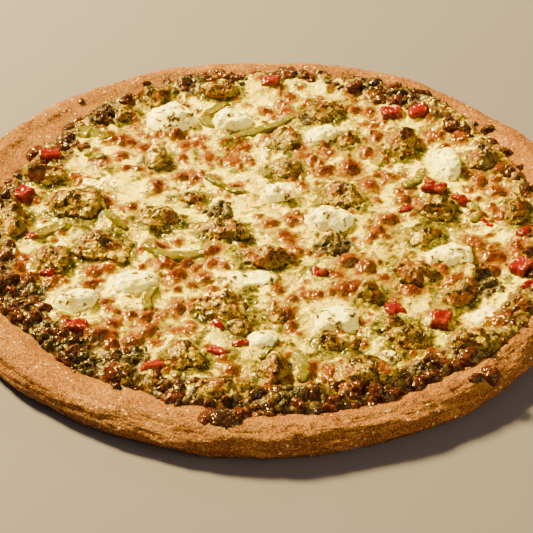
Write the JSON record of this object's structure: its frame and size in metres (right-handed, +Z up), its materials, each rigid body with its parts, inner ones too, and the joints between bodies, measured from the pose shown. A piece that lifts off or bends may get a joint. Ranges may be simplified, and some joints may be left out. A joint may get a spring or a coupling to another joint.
{
  "type": "pan pizza",
  "caption": "Round pan pizza with a low golden rim, melted browned cheese, pesto chicken, soft white cheese and red and green pepper, uncut and ready to rest on a board or plate.",
  "frame": {"origin": "middle of the flat underside, on the surface that the pizza rests on", "axes": "+Z up out of the toppings, +Y away from the side nearest the viewer, +X to the viewer's right"},
  "size_m": [0.3398, 0.3398, 0.0257],
  "materials": {
    "crust": "golden-brown baked dough, matte, finely pebbled",
    "cheese": "melted cheese, creamy with orange-brown blisters, oily gloss",
    "chicken": "roast chicken in pesto, tan with dark charred tips",
    "white_cheese": "soft white cheese, satin, toasted on top",
    "green_pepper": "cooked yellow-green pepper, wet gloss",
    "red_pepper": "roast red pepper, wet gloss, browned edges"
  },
  "bodies": {
    "root": {"crust": "crust", "cheese": "cheese", "chicken_01": "chicken", "chicken_02": "chicken", "chicken_03": "chicken", "chicken_04": "chicken", "chicken_05": "chicken", "chicken_06": "chicken", "chicken_07": "chicken", "chicken_08": "chicken", "chicken_09": "chicken", "chicken_10": "chicken", "chicken_11": "chicken", "chicken_12": "chicken", "chicken_13": "chicken", "chicken_14": "chicken", "chicken_15": "chicken", "chicken_16": "chicken", "chicken_17": "chicken", "chicken_18": "chicken", "chicken_19": "chicken", "chicken_20": "chicken", "chicken_21": "chicken", "chicken_22": "chicken", "chicken_23": "chicken", "chicken_24": "chicken", "chicken_25": "chicken", "chicken_26": "chicken", "chicken_27": "chicken", "chicken_28": "chicken", "chicken_29": "chicken", "chicken_30": "chicken", "white_cheese_01": "white_cheese", "white_cheese_02": "white_cheese", "white_cheese_03": "white_cheese", "white_cheese_04": "white_cheese", "white_cheese_05": "white_cheese", "white_cheese_06": "white_cheese", "white_cheese_07": "white_cheese", "white_cheese_08": "white_cheese", "white_cheese_09": "white_cheese", "white_cheese_10": "white_cheese", "white_cheese_11": "white_cheese", "pepper_strip_01": "green_pepper", "pepper_strip_02": "green_pepper", "pepper_strip_03": "green_pepper", "pepper_strip_04": "green_pepper", "pepper_strip_05": "green_pepper", "pepper_strip_06": "green_pepper", "pepper_strip_07": "green_pepper", "pepper_strip_08": "green_pepper", "red_pepper_01": "red_pepper", "red_pepper_02": "red_pepper", "red_pepper_03": "red_pepper", "red_pepper_04": "red_pepper", "red_pepper_05": "red_pepper", "red_pepper_06": "red_pepper", "red_pepper_07": "red_pepper", "red_pepper_08": "red_pepper", "red_pepper_09": "red_pepper"}
  },
  "joints": []
}
